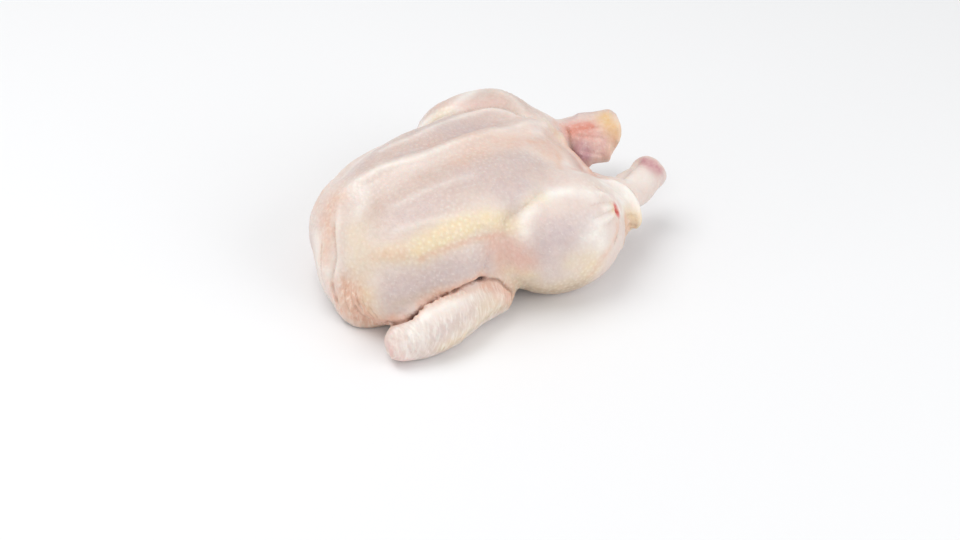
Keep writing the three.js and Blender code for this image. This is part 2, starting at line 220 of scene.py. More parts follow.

# ---- creases: path, width, depth, strength of the line of painted shade in them ----
CREASES = {
    "under the neck edge": (NECK_VALLEY, 1.5, 2.8, 0.3),
    "far breast ridge": ([(-24, 61, 77), (-17, 60, 83), (-9, 55, 88), (2, 52, 91), (18, 48, 91), (32, 44, 90),
                          (42, 40, 87), (50, 33, 83), (61, 25, 80)], 1.8, 2.4, 0.3),
    "lowest neck line": ([(-138, -22, 33), (-139, -26, 23), (-137, -31, 14), (-133, -35, 8)], 0.9, 0.9, 0.3),
    "second neck line": ([(-137, -27, 33), (-137, -32, 24), (-133, -38, 15), (-128, -42, 9)], 0.9, 1.1, 0.38),
    "third neck line": ([(-135, -31, 34), (-134, -36, 27), (-131, -41, 18), (-126, -44, 11)], 0.9, 1.1, 0.38),
    "fourth neck line": ([(-133, -37, 33), (-131, -42, 25), (-127, -46, 17)], 0.9, 1, 0.34),
    "fifth neck line": ([(-129, -43, 29), (-126, -48, 21), (-123, -50, 14)], 0.9, 0.9, 0.3),
    "outside the neck fold": ([(-137, 13, 52), (-141, 7, 41), (-142, 1, 30), (-142, -5, 20)], 1.4, 1.2, 0.3),
    "behind the belly skin's edge": ([(x + 3.5, y, z - 3) for x, y, z in BELLY_RIM[1:]], 1.6, 2.6, 0.35),
    "below the cuff": ([(70, -41, 66), (78, -46, 62), (86, -51, 57), (91, -57, 49), (90, -64, 42),
                        (88, -68, 34)], 1.4, 2.2, 0.3),
    "near wrist": ([(-120, -76, 30), (-124, -82, 25), (-125, -87, 18), (-123, -90, 11)], 1.8, 0.8, 0.12),
    "first fold to the slit": ([(30, -78, 75), (43, -76, 72), (55, -73, 65)], 1.2, 1.2, 0.22),
    "second fold to the slit": ([(28, -84, 66), (42, -81, 66), (55, -76, 62)], 1.2, 1.1, 0.22),
    "third fold to the slit": ([(44, -62, 78), (52, -68, 73), (57, -72, 66)], 1.2, 1.2, 0.22),
    "fourth fold to the slit": ([(38, -87, 58), (47, -83, 60), (56, -77, 60)], 1.2, 1, 0.2),
    "below the slit": ([(58, -78, 58), (56, -82, 53), (51, -86, 48), (45, -90, 41)], 1.5, 1.8, 0.45),
    "knob's upper ring": ([(73, -71, 46), (78, -70, 45), (82, -70, 41)], 1.9, 0.9, 0.26),
    "knob's lower ring": ([(73, -72, 39), (77, -72, 37), (81, -71, 34)], 1.9, 1, 0.3),
    "beside the knob": ([(73, -75, 47), (71, -76, 40), (72, -73, 32)], 1.8, 1.6, 0.3),
    "far shank, first streak": ([(98, 30, 55), (108, 25, 56), (118, 20, 56)], 1.4, 1.1, 0.1),
    "far shank, second streak": ([(97, 27, 52), (107, 21, 51), (117, 15, 50)], 1.3, 1.2, 0.15),
    "far shank, third streak": ([(98, 35, 60), (108, 33, 61), (118, 30, 62)], 1.2, 1, 0.1),
    "far shank, fourth streak": ([(98, 22, 44), (106, 17, 42), (114, 12, 40)], 1.3, 1.2, 0.2),
    "far shank": ([(96, 36, 58), (94, 31, 55), (92, 26, 49), (92, 22, 43), (94, 18, 36)], 1.6, 2, 0.5),
    "near shank's edge": (NEAR_SHANK_EDGE, 1.4, 0.6, 0.3),
}
CREASES_BOTH = {
    "wing and forearm": (FOREARM_SEAM, 1.5, 3.6, 0.85),
    "elbow and thigh": (ELBOW_SEAM, 1.4, 2.8, 0.7),
    "wing and thigh": (WING_LINE, 2.4, 1.5, 0.1),
    "by the wrist": ([(-119, -69, 28), (-114, -72, 32), (-108, -73, 34), (-102, -72, 35)], 2.6, 3.4, 0.8),
    "by the elbow": ([(-59, -72, 40), (-55, -70, 38), (-51, -71, 37)], 1.7, 3.6, 0.6),
    "breast and leg": (LEG_VALLEY[2:], 1.5, 0.9, 0.15),
}

# ---- where each tint lies, on kinds of skin and as painted shade and highlight: path, width, strength ----
BOTH_SIDES = {
    "violet": [
        ([(-12, -80, 68), (2, -80, 70), (18, -81, 69), (28, -83, 67)], 7, 0.6),
        ([(-10, -83, 62), (4, -85, 62), (18, -88, 60), (26, -89, 60)], 10, 0.9),
        ([(-13, -86, 53), (-2, -89, 48)], 11, 0.6),
        ([(-40, -30, 98), (-12, -30, 97), (14, -27, 90)], 16, 0.6),
        ([(-27, -48, 91), (-17, -53, 86), (-6, -48, 88)], 9, 0.6),
        ([(-95, -33, 86), (-72, -37, 91)], 13, 0.5),
        ([(-118, -57, 46), (-102, -64, 48), (-86, -70, 54), (-66, -71, 52)], 13, 0.8),
        ([(-65, -83, 28), (-84, -87, 28), (-102, -89, 26)], 5, 0.5),
        ([(-134, -27, 37), (-128, -36, 44)], 6, 0.4),
        ([(36, -8, 85), (52, 0, 79)], 11, 0.3),
        # painted shade in the valley between breast and leg and along the line between wing and thigh
        (LEG_VALLEY[2:7], 5, 0.5),
        (WING_LINE, 4, 0.7),
    ],
    "tan": [
        # painted shade in the valley between breast and leg
        (LEG_VALLEY[2:], 3.5, 0.4),
        ([(-42, -79, 24), (-62, -84, 24), (-90, -87, 24)], 8, 0.2),
        ([(-29, -75, 22), (-11, -76, 11), (4, -85, 11), (17, -91, 15)], 10, 1),
        ([(-118, -60, 37), (-104, -67, 41), (-88, -69, 44)], 4, 0.3),
        ([(-36, -79, 14), (-63, -87, 11), (-100, -93, 9)], 5, 0.35),
    ],
    "flesh": [
        ([(-70, 20, 96), (-40, 20, 99), (-10, 24, 96), (20, 28, 90)], 11, 1),
        ([(-90, -24, 89), (-52, -35, 97), (-29, -37, 96), (-10, -38, 93), (12, -32, 88)], 14, 0.8),
        ([(-29, -75, 24), (-11, -76, 13), (4, -85, 13), (17, -91, 18)], 10, 0.6),
        ([(-42, -68, 58), (-36, -70, 52), (-28, -77, 46)], 8, 0.9),
        ([(-118, -60, 46), (-100, -67, 50), (-80, -71, 53), (-58, -71, 51)], 13, 0.75),
    ],
    "cream_and_highlight": [
        # painted highlights: the pale band along the leg's top and the bright patch on its side
        ([(-23, -72, 68), (-18, -66, 75), (-9, -62, 80), (4, -59, 82), (23, -64, 81), (36, -71, 78)], 6, 0.8),
        ([(23, -90, 55), (31, -92, 49), (31, -87, 61)], 9, 0.85),
        ([(-58, -75, 37), (-80, -78, 37), (-108, -80, 32)], 6.5, 0.85),
        ([(-118, -84, 24), (-128, -82, 16), (-124, -84, 10)], 8, 0.7),
        (TRACT_TOP, 2.4, 0.3),
        ([(60, -56, 72), (74, -60, 58), (80, -60, 53)], 6, 0.8),
    ],
    "fat": [
        ([(-29, -75, 26), (-11, -76, 15), (4, -85, 15), (17, -91, 20), (24, -92, 30)], 11, 0.65),
        ([(-35, -74, 40), (-28, -78, 41), (-20, -80, 34)], 6, 0.6),
        ([(6, -91, 43), (22, -93, 42)], 8, 0.35),
        ([(-36, -79, 18), (-63, -87, 15), (-100, -93, 12)], 6, 0.5),
        ([(-44, -79, 26), (-66, -84, 25)], 8, 0.35),
        ([(-10, -60, 82), (2, -60, 80)], 5, 0.35),
    ],
    "orange": [
        ([(-42, -66, 62), (-36, -69, 56), (-30, -76, 52), (-25, -80, 48)], 9, 0.6),
        ([(-37, -71, 49), (-40, -72, 40)], 5, 0.4),
        ([(-98, -57, 65), (-81, -62, 70), (-63, -65, 72), (-46, -66, 69), (-36, -66, 66)], 2.6, 0.55),
        ([(-122, -36, 62), (-113, -45, 67), (-107, -50, 68)], 5, 0.35),
        ([(50, -85, 54), (47, -88, 48), (41, -92, 44), (33, -94, 36), (24, -93, 25)], 3, 0.4),
        ([(x, y, z + 3.5) for x, y, z in FOREARM_SEAM], 3.8, 0.8),
        ([(x, y - 3, z - 4) for x, y, z in FOREARM_SEAM[4:]], 3, 0.5),
        ([(-48, -75, 34), (-39, -77, 27), (-38, -80, 20)], 6, 0.5),
        ([(x, y - 3, z - 2) for x, y, z in ELBOW_SEAM], 4.5, 0.45),
        ([(-38, -14, 100), (-17, -9, 98), (2, -6, 95), (20, -5, 90), (36, -8, 84)], 10, 0.32),
    ],
    "pink": [
        ([(-134, -79, 13), (-129, -82, 6)], 9, 0.7),
        ([(-40, -78, 22), (-46, -77, 28)], 7, 0.4),
        (FOREARM_SEAM, 2.8, 0.4),
        ([(-40, -67, 60), (-30, -74, 54), (-24, -77, 46)], 10, 0.45),
    ],
    # painted shade in the holes by the elbow and by the wrist
    "dark": [
        ([(-60, -72, 40), (-56, -71, 39), (-53, -70, 38)], 1.6, 0.9),
        ([(-116, -71, 30), (-112, -72, 33), (-107, -72, 34)], 2, 0.75),
    ],
}
ONE_SIDE = {
    "flesh": [
        # painted shade above the far breast ridge
        ([(-5, 66, 84), (15, 58, 91), (38, 50, 91), (55, 46, 86)], 16, 0.9),
        ([(-108, -14, 84), (-98, -24, 86), (-84, -30, 91)], 15, 0.9),
    ],
    "violet": [
        ([(-70, 15, 98), (-40, 16, 100), (-10, 22, 97), (15, 28, 91)], 6.5, 0.6),
        ([(93, 28, 54), (96, 25, 52), (100, 20, 50), (105, 17, 45)], 8, 0.75),
        ([(100, 41, 58), (111, 40, 61), (124, 36, 63), (133, 26, 63)], 2.6, 0.7),
        (NEAR_SHANK_EDGE, 2.4, 0.7),
        ([(96, -38, 57), (108, -31, 56)], 5, 0.3),
        ([(128, -42, 48), (126, -46, 39), (120, -52, 34)], 2.6, 0.6),
        ([(-142, -2, 36), (-142, -8, 27)], 5, 0.4),
    ],
    "cream_and_highlight": [
        # painted highlights: pale lines along the keel, the ridges and the folds
        (KEEL, 2.8, 0.55),
        (FAR_RIDGE, 2.8, 0.5),
        ([(8, 8, 95), (30, 8, 88), (52, 10, 80)], 6, 0.5),
        ([(46, 57, 92), (51, 48, 90), (54, 39, 85)], 4, 0.35),
        (SWELLS["breast's long fold"][0], 3, 0.25),
        ([(-107, 14, 87), (-109, 1, 82), (-116, -5, 76)], 7, 0.5),
        (NECK_EDGE, 2.2, 0.6),
        (NECK_FOLD, 2.2, 0.5),
        # painted light on the side of the neck
        ([(-138, 14, 48), (-141, 8, 41), (-142, 1, 35), (-142, -5, 28)], 9, 1),
        ([(93, -43, 56), (102, -44, 56), (108, -47, 53)], 8, 0.5),
        (CUFF_RIM, 4, 0.8),
        ([(66, -64, 62), (71, -66, 54), (66, -73, 51)], 3, 0.6),
        ([(61, -74, 61), (62, -76, 57)], 3, 0.8),
        (SWELLS["fold above the slit"][0], 2, 0.6),
        (SWELLS["fold before the slit"][0], 2, 0.6),
        (SWELLS["second fold before the slit"][0], 2, 0.5),
        ([(131, 20, 61), (129, 12, 56), (126, 8, 45)], 2.2, 0.4),
        ([(54, -10, 76), (51, -27, 73), (44, -45, 78)], 5, 0.4),
        ([(24, -18, 87), (34, -24, 82), (44, -28, 76)], 8, 0.35),
    ],
    "fat": [
        (TRACT[2:], 8.5, 0.9),
        (TRACT[:4], 8, 0.6),
        ([(-96, -56, 71), (-76, -59, 77), (-60, -60, 79)], 5, 0.45),
        ([(-98, 61, 64), (-74, 65, 70), (-51, 67, 71), (-34, 68, 66)], 8, 0.7),
        (KNOB, 6, 0.6),
        ([(-122, -15, 66), (-127, -24, 56), (-130, -30, 46), (-130, -38, 36)], 13, 0.38),
        ([(51, -79, 62), (53, -77, 65)], 3.4, 0.9),
        ([(70, 25, 74), (76, 15, 66)], 6, 0.4),
    ],
    "amber": [
        ([(122, 22, 60), (121, 14, 56), (119, 10, 49), (116, 12, 42)], 9, 0.95),
        ([(124, 27, 63), (126, 22, 62)], 4, 0.4),
        ([(78, -70, 40), (79, -70, 36)], 4, 0.4),
        ([(-134, -35, 28), (-130, -42, 15)], 12, 0.7),
    ],
    "orange": [
        (NECK_SKIN, 8.5, 0.6),
        ([(-136, -27, 29), (-135, -34, 21), (-130, -40, 13), (-124, -47, 12)], 11, 1.25),
        (NECK_FOOT, 5, 0.5),
        (BELLY_RIM, 2, 0.7),
        ([(87, 38, 62), (75, 22, 68), (59, -1, 72), (42, -24, 78), (33, -37, 82)], 3, 0.4),
        ([(31, -3, 87), (43, -4, 82), (66, 11, 70)], 2.6, 0.4),
        ([(62, 8, 75), (50, -12, 78), (36, -20, 84)], 10, 0.45),
        ([(56, -81, 55), (51, -85, 51), (47, -88, 48)], 2.2, 0.35),
        ([(72, -73, 46), (73, -74, 38), (74, -73, 30), (70, -77, 25)], 4.5, 0.6),
        ([(96, 24, 38), (102, 20, 33), (108, 17, 32)], 5, 0.6),
    ],
    "pink": [
        (FAR_SHANK_FOOT, 11, 0.9),
        ([(114, 14, 38), (106, 18, 34)], 7, 0.7),
        ([(-142, 0, 30), (-141, -12, 18)], 5, 0.35),
        # painted shade above the far breast ridge
        ([(1, 71, 87), (17, 55, 92), (40, 48, 92)], 5, 0.35),
        ([(72, -20, 58), (66, -38, 65)], 4, 0.3),
        ([(119, -29, 55), (121, -35, 55), (125, -40, 52)], 6, 0.6),
    ],
    "salmon": [
        ([(95, 32, 56), (103, 28, 58), (110, 25, 58)], 5.6, 0.95),
        ([(98, 26, 52), (107, 21, 51)], 5, 0.4),
        ([(94, 24, 38), (100, 20, 32), (107, 16, 30)], 3.5, 0.6),
        ([(46, -38, 79), (52, -36, 75)], 4, 0.3),
    ],
    "rose": [
        ([(119, -29, 55), (122, -35, 55), (125, -41, 51)], 4.6, 0.75),
        ([(118, -34, 55), (120, -40, 53)], 6.5, 0.4),
        ([(96, 21, 44), (99, 18, 41)], 4.5, 1),
        ([(100, 22, 48), (104, 16, 44)], 3.5, 0.4),
    ],
    "tan": [
        ([(77, -71, 41), (78, -71, 35)], 5, 0.45),
        ([(74, -73, 30), (70, -77, 25)], 5, 0.35),
    ],
    "red": [(SLIT, 3.8, 1)],
    # painted shade: a small dark spot on the far shank
    "dark": [([(96, 20, 42), (97, 19, 41)], 1.6, 0.35)],
}
WRINKLED = [
    ([(-136, -25, 31), (-135, -34, 22), (-131, -39, 13), (-125, -46, 12)], 11, 1.3),
    (NECK_SKIN, 8, 0.55),
    (NECK_FOOT, 6, 0.8),
    (FAR_SHANK_FOOT, 9, 0.25),
    (KNOB, 6, 0.4),
]
BARE = [  # where the skin has no follicles
    ([(96, -40, 50), (112, -38, 46), (128, -36, 42)], 17, 1),
    ([(98, 28, 48), (112, 24, 48), (130, 20, 46)], 20, 1),
    (KNOB, 8, 1),
    (BELLY_RIM, 7, 0.9),
    (CUFF_RIM, 6, 0.9),
    (NECK_VALLEY, 5, 0.8),
]

# ---- colours ----
SKIN_COLOUR = (0.80, 0.69, 0.625)
FLESH_COLOUR = (0.71, 0.575, 0.525)  # where the flesh shows through
TINTS = {
    # tan is also painted shade in the valley between breast and leg
    "tan": (0.56, 0.43, 0.30),
    "flesh": (0.62, 0.475, 0.41),  # flesh under thin skin, and painted shade above the far breast ridge
    "violet": (0.60, 0.485, 0.475),  # dark muscle under thin skin, and painted shade in the valleys by the leg and by the wing
    "cream_and_highlight": (0.90, 0.855, 0.80),  # cream skin, and painted highlights along ridges and folds and on the leg
    "fat": (0.85, 0.70, 0.45),
    "amber": (0.76, 0.50, 0.22),
    "orange": (0.75, 0.45, 0.32),  # beside seams and folds
    "pink": (0.78, 0.50, 0.45),
    "salmon": (0.68, 0.27, 0.20),
    "rose": (0.52, 0.24, 0.27),  # bruised skin on the shanks
    "crease_shade": (0.36, 0.18, 0.12),  # painted shade: the dark lines in the creases
    "red": (0.66, 0.14, 0.11),  # the slit
    "dark": (0.06, 0.02, 0.015),  # painted shade in the deepest hollows
}
SOFT_TINTS = ("flesh", "violet", "cream_and_highlight", "fat", "tan", "amber", "orange", "pink", "salmon", "rose")
SHARP_TINTS = ("crease_shade", "red", "dark")  # painted shade in creases, the slit's red and painted shade in hollows, laid on last with crisp edges
PALE_SPECK = (0.88, 0.80, 0.74)
DARK_SPECK = (0.60, 0.44, 0.40)
PALE_TICK = (0.90, 0.84, 0.78)
BETWEEN_FOLLICLES = (0.62, 0.46, 0.38)
FOLLICLE_TOP = (0.92, 0.86, 0.78)
# painted shade in the wrinkles' hollows and painted highlight on their tops
WRINKLE_SHADE = (0.56, 0.31, 0.20)
WRINKLE_HIGHLIGHT = (0.93, 0.83, 0.74)
PALE_STROKE = (0.95, 0.90, 0.84)  # strokes along the feather rows
DARK_STROKE = (0.64, 0.49, 0.43)
# raw meat; at the body opening its darkness is also painted shade in the hollow
MEAT = (0.46, 0.17, 0.13)
BONE = (0.84, 0.77, 0.64)

# ---- noises of the skin's material ----
GRAIN = {"broad": (26, 3.0), "middle": (8, 3.0), "small": (3.2, 2.0), "fine": (1.3, 2.0)}  # size, detail
LONG_GRAIN = {  # turn of its axes in radians, how long it is along each, size
    "ticks": ((0, 0.93, 0), (4.5, 1, 1), 1.5),
    "strokes": ((0, 0.25, 0), (1, 5, 5), 1.7),
    "wrinkles": ((0, -0.25, 0), (1, 1, 4.5), 2.0),
}
PORES = (2.3, 0.8)  # distance between them, randomness

# ---- sockets of a Mix node that mixes colours ----
MIX_SHARE, MIX_ONE, MIX_TWO = 0, 6, 7
MIX_RESULT = 2


# ---- mesh ----

def select_only(obj):
    """Makes obj the one selected and active object."""
    bpy.ops.object.select_all(action="DESELECT")
    obj.select_set(True)
    bpy.context.view_layer.objects.active = obj


def apply_modifier(obj, kind, **settings):
    """Adds a modifier of that kind to obj and applies it at once."""
    select_only(obj)
    modifier = obj.modifiers.new(kind.lower(), kind)
    for name, value in settings.items():
        setattr(modifier, name, value)
    bpy.ops.object.modifier_apply(modifier=modifier.name)


def remesh(obj):
    """Gives obj even faces of about a voxel."""
    apply_modifier(obj, "REMESH", mode="VOXEL", voxel_size=VOXEL * MM, use_smooth_shade=True)


def fine_copy(node, name):
    """A closed copy of a node with even faces of about a voxel, its facets rounded off."""
    obj = bpy.data.objects.new(name, node.data.copy())
    bpy.context.scene.collection.objects.link(obj)
    select_only(obj)
    bpy.ops.object.mode_set(mode="EDIT")
    bpy.ops.mesh.select_all(action="SELECT")
    bpy.ops.mesh.remove_doubles(threshold=MERGE * MM)
    bpy.ops.mesh.tris_convert_to_quads()
    bpy.ops.object.mode_set(mode="OBJECT")
    apply_modifier(obj, "SUBSURF", levels=ROUND_LEVELS, render_levels=ROUND_LEVELS)
    remesh(obj)
    return obj


def thin_out(obj):
    """Takes faces out of obj where its skin is even, down to FACE_LIMIT triangles."""
    triangles = sum(len(face.vertices) - 2 for face in obj.data.polygons)
    if triangles > FACE_LIMIT:
        apply_modifier(obj, "DECIMATE", ratio=FACE_LIMIT / triangles, use_collapse_triangulate=True)
    bpy.ops.object.shade_smooth()


# ---- places, paths and lumps ----

def tree_of(points):
    """A search tree over the points."""
    tree = KDTree(len(points))
    for number, point in enumerate(points):
        tree.insert(point, number)
    tree.balance()
    return tree


def nearest_of(centres, points):
    """For each point, the number of the nearest centre and how far it is."""
    tree = tree_of(centres)
    found = [tree.find(point)[1:] for point in points]
    numbers, distances = zip(*found)
    return np.array(numbers), np.array(distances)


def carried(tree, values, points):
    """Each value for the points, as the mean of the three nearest places of the tree."""
    table = np.stack(list(values.values()), 1)
    rows = [[number for _, number, _ in tree.find_n(point, 3)] for point in points]
    return dict(zip(values, table[np.array(rows)].mean(1).T))


def smooth_path(points):
    """Places about PATH_STEP apart on a smooth curve through the points, and its directions."""
    points = np.array(points, float)
    ends = np.vstack([2 * points[0] - points[1], points, 2 * points[-1] - points[-2]])
    places = []
    for before, start, stop, after in zip(ends, ends[1:], ends[2:], ends[3:]):
        count = max(2, int(np.linalg.norm(stop - start) / PATH_STEP))
        t = (np.arange(count) / count)[:, None]
        leaving, arriving = (stop - before) / 2, (after - start) / 2
        places.append((2 * t**3 - 3 * t**2 + 1) * start + (t**3 - 2 * t**2 + t) * leaving
                      + (3 * t**2 - 2 * t**3) * stop + (t**3 - t**2) * arriving)
    places = np.vstack(places + [points[-1:]])
    ways = np.gradient(places, axis=0)
    return places, ways / np.linalg.norm(ways, axis=1, keepdims=True)


def mirrored(path):
    """The same path on the other side of the bird."""
    return [(x, -y, z) for x, y, z in path]


def both(forms):
    """The forms and the same on the other side of the bird."""
    return list(forms) + [(mirrored(path), *rest) for path, *rest in forms]


def whole_bird(forms, forms_of_both):
    """All the bird's forms, those of both sides twice."""
    return list(forms) + both(forms_of_both)


def ramp(values, length):
    """Rises from 0 to 1 as the values go from 0 to that length."""
    return np.clip(values / length, 0, 1)


def eased(share):
    """The share from 0 to 1, with a soft start and end."""
    return share * share * (3 - 2 * share)


def bell(distance, width):
    """1 at distance 0, falling off softly over that width."""
    return np.exp(-((distance / width) ** 2))


def fade(share, length):
    """Rises from 0 to 1 over the first part of the way and falls again over the last."""
    return eased(ramp(np.minimum(share, 1 - share), length))


def wave(angle):
    """Goes from 1 to 0 and back to 1 with each whole turn of the angle."""
    return 0.5 + 0.5 * np.cos(angle)


def lumps(points, size, seed):
    """Smooth random values from -1 to 1, in lumps of about that size."""
    table = np.random.default_rng(seed).uniform(-1, 1, (LUMP_TABLE, LUMP_TABLE, LUMP_TABLE))
    cell = points / size
    low = np.floor(cell).astype(int)
    part = eased(cell - low)
    total = np.zeros(len(points))
    for corner in itertools.product((0, 1), repeat=3):
        share = np.prod(np.where(corner, part, 1 - part), axis=1)
        total += share * table[tuple(((low + corner) % LUMP_TABLE).T)]
    return total


# ---- the skin and what is done to it ----

def triples(items, what):
    """Three numbers for each of a mesh's items, as an array."""
    values = np.empty(len(items) * 3, np.float32)
    items.foreach_get(what, values)
    return values.reshape(-1, 3).astype(float)


class Skin:
    """The skin's points and normals as arrays, in mm, with what is done to them."""

    def __init__(self, obj):
        self.mesh = obj.data
        self.points = triples(self.mesh.vertices, "co") / MM
        edges = np.empty(len(self.mesh.edges) * 2, np.int32)
        self.mesh.edges.foreach_get("vertices", edges)
        self.ends = edges.reshape(-1, 2)
        self.degree = np.maximum(np.bincount(self.ends.ravel(), minlength=len(self.points)), 1)
        self.settle()

    def settle(self):
        """Writes the points to the mesh, reads its normals and takes this as the shape at rest."""
        self.mesh.vertices.foreach_set("co", (self.points * MM).astype(np.float32).ravel())
        self.mesh.update()
        self.normals = triples(self.mesh.vertex_normals, "vector")
        self.rest = self.points.copy()
        self.tree = None

    def around(self, values):
        """The mean of the neighbours' values, for each point."""
        one, two = self.ends.T
        count = len(values)
        sums = [np.bincount(one, column[two], count) + np.bincount(two, column[one], count)
                for column in values.T]
        return np.stack(sums, 1) / self.degree[:, None]

    def smooth(self, rounds):
        """Smooths the points without shrinking them."""
        for _ in range(rounds):
            for amount in (SHRINK, -REGROW):
                self.points += amount * (self.around(self.points) - self.points)
        self.settle()

    def along(self, path, reach):
        """The points near a path laid on the shape at rest: numbers, distances, ways to it, shares."""
        if self.tree is None:
            self.tree = tree_of(self.rest)
        places, ways = smooth_path([self.tree.find(point)[0] for point in path])
        inside = np.all((self.rest > places.min(0) - reach) & (self.rest < places.max(0) + reach), 1)
        numbers = np.flatnonzero(inside)
        best = np.full(len(numbers), np.inf)
        at = np.zeros(len(numbers), int)
        for step, place in enumerate(places):
            far = ((self.rest[numbers] - place) ** 2).sum(1)
            closer = far < best
            best[closer] = far[closer]
            at[closer] = step
        to_path = places[at] - self.rest[numbers]
        on_way = (to_path * ways[at]).sum(1)
        past_end = (at == 0) | (at == len(places) - 1)
        to_path -= np.where(past_end, 0, on_way)[:, None] * ways[at]
        distance = np.linalg.norm(to_path, axis=1)
        kept = distance < reach
        return numbers[kept], distance[kept], to_path[kept], at[kept] / (len(places) - 1)

    def swell(self, path, width, height):
        """Raises a rounded ridge along a path, or a hollow where height is negative."""
        numbers, distance, _, share = self.along(path, SWELL_REACH * width)
        amount = height * bell(distance, width) * fade(share, SWELL_FADE)
        self.points[numbers] += amount[:, None] * self.normals[numbers]

    def crease(self, path, width, depth):
        """Presses a sharp crease along a path and draws the skin on both sides towards it."""
        numbers, distance, to_path, share = self.along(path, CREASE_REACH * width)
        strength = fade(share, CREASE_FADE)
        drop = depth * np.exp(-((distance / width) ** CREASE_POWER)) * strength
        pull = PULL * bell(distance, PULL_WIDTH * width) * strength
        self.points[numbers] += pull[:, None] * to_path - drop[:, None] * self.normals[numbers]

    def from_cut(self, place, way):
        """How far each point is past a shank's cut, how far from its middle, and the way out."""
        way = np.array(way) / np.linalg.norm(way)
        from_place = self.points - place
        beyond = from_place @ way
        return beyond, np.linalg.norm(from_place - beyond[:, None] * way, axis=1), way

    def cut_off(self, place, way, bone):
        """Cuts a shank off at a plane; the bone stands out of the cut a little, inside a groove."""
        beyond, beside, way = self.from_cut(place, way)
        cut = (beyond > 0) & (beside < SHANK_REACH) & (beyond < SHANK_REACH)
        rise = BONE_RISE * np.exp(-((beside[cut] / bone) ** 4))
        rise -= GROOVE_DEPTH * bell(beside[cut] - bone - GROOVE_WIDTH, GROOVE_WIDTH)
        self.points[cut] += (rise - CUT_SHARE * beyond[cut])[:, None] * way

    def cover(self, patches, fading=False):
        """How strongly the patches cover each point, from 0 to 1; they may fade to their ends."""
        bare = np.ones(len(self.points))
        for path, width, strength in patches:
            numbers, distance, _, share = self.along(path, PATCH_REACH * width)
            cover = strength * bell(distance, width)
            if fading:
                cover *= fade(share, CREASE_FADE)
            bare[numbers] *= np.clip(1 - cover, 0, 1)
        return np.clip(1 - bare, 0, 1)

    def raise_by(self, height):
        """Moves each point along its normal by its own height, but none below z 0."""
        self.points += height[:, None] * self.normals
        self.points[:, 2] = np.maximum(self.points[:, 2], 0)
        self.settle()

    def keep(self, name, values):
        """Stores a value for each point under that name."""
        layer = self.mesh.attributes.new(name, "FLOAT", "POINT")
        layer.data.foreach_set("value", np.clip(values, 0, 1).astype(np.float32))


def stubs():
    """Short ridges where the forearm's torn edge stands up against the wing."""
    draw = np.random.default_rng(SEEDS["stubs"])
    places, _ = smooth_path(TORN_EDGE)
    ridges = []
    for place in places[::STUB_STEP]:
        lean = draw.uniform(*STUB_LEAN)
        foot = place + (lean, STUB_FOOT, STUB_FOOT)
        tip = place + (-lean, STUB_IN, draw.uniform(*STUB_UP))
        path = [tuple(foot), tuple((foot + tip) / 2), tuple(tip)]
        ridges.append((path, STUB_WIDTH, draw.uniform(*STUB_HEIGHT)))
    return ridges


def tint_masks(skin):
    """How much of each tint every point of the skin carries, and where it is wrinkled or bare."""
    masks = {}
    for name in TINTS:
        # painted shade: a dark line along every crease
        if name == "crease_shade":
            creases = whole_bird(CREASES.values(), CREASES_BOTH.values())
            lines = [(path, CREASE_SHADE_WIDTH * width, shade) for path, width, _, shade in creases]
            masks[name] = skin.cover(lines, fading=True)
        else:
            masks[name] = skin.cover(whole_bird(ONE_SIDE.get(name, ()), BOTH_SIDES.get(name, ())))
    masks["wrinkled"] = skin.cover(WRINKLED)
    masks["bare"] = skin.cover(BARE)
    return masks


def follicle_centres(points):
    """Places about FOLLICLE_SPACING apart all over the points, evened out."""
    draw = np.random.default_rng(SEEDS["follicles"])
    tried = points[draw.permutation(len(points))[:FOLLICLE_TRIES]]
    taken = {}
    for point in tried:
        cell = tuple((point // FOLLICLE_SPACING).astype(int))
        near = itertools.product(*((c - 1, c, c + 1) for c in cell))
        others = (other for key in near for other in taken.get(key, ()))
        if all(((point - other) ** 2).sum() > FOLLICLE_SPACING**2 for other in others):
            taken.setdefault(cell, []).append(point)
    centres = np.array([point for group in taken.values() for point in group])
    for _ in range(FOLLICLE_ROUNDS):
        nearest, _ = nearest_of(centres, tried)
        count = np.bincount(nearest, minlength=len(centres))
        sums = np.stack([np.bincount(nearest, column, len(centres)) for column in tried.T], 1)
        centres = np.where(count[:, None] > 0, sums / np.maximum(count, 1)[:, None], centres)
    return centres


def follicle_share(skin, values, forearm):
    """How strongly the follicles show at each point: most on the fat, none on bare skin."""
    usual, varied, on_fat = 0.50, 0.7, 0.6
    least, most = 0.12, 1.3
    areas = lumps(skin.points, FOLLICLE_AREA, SEEDS["follicle areas"])
    share = np.clip(usual + varied * areas + on_fat * values["fat"], least, most)
    return share * (1 - forearm) * (1 - values["bare"])


def follicle_tops(skin, centres):
    """1 in the middle of each follicle, falling off to 0 round it."""
    _, far = nearest_of(centres, skin.points)
    return bell(far, FOLLICLE_RADIUS)


def forearm_share(skin):
    """How much each point belongs to a forearm, where feather rows take the follicles' place."""
    share = np.zeros(len(skin.points))
    for path in (FOREARM, mirrored(FOREARM)):
        numbers, distance, *_ = skin.along(path, FOREARM_RADIUS + FOREARM_BLUR)
        x, y, z = skin.points[numbers].T
        seam = SEAM_TOP[1] - SEAM_FALL * np.abs(x - SEAM_TOP[0])
        low = ramp(seam - z + SEAM_BLUR / 2, SEAM_BLUR)
        out = ramp(np.abs(y) - FLANK, FOREARM_BLUR)
        past_elbow = ramp(ELBOW[0] - x, ELBOW[1])
        inside = ramp(FOREARM_RADIUS - distance, FOREARM_BLUR)
        share[numbers] = np.maximum(share[numbers], inside * low * out * past_elbow)
    return share


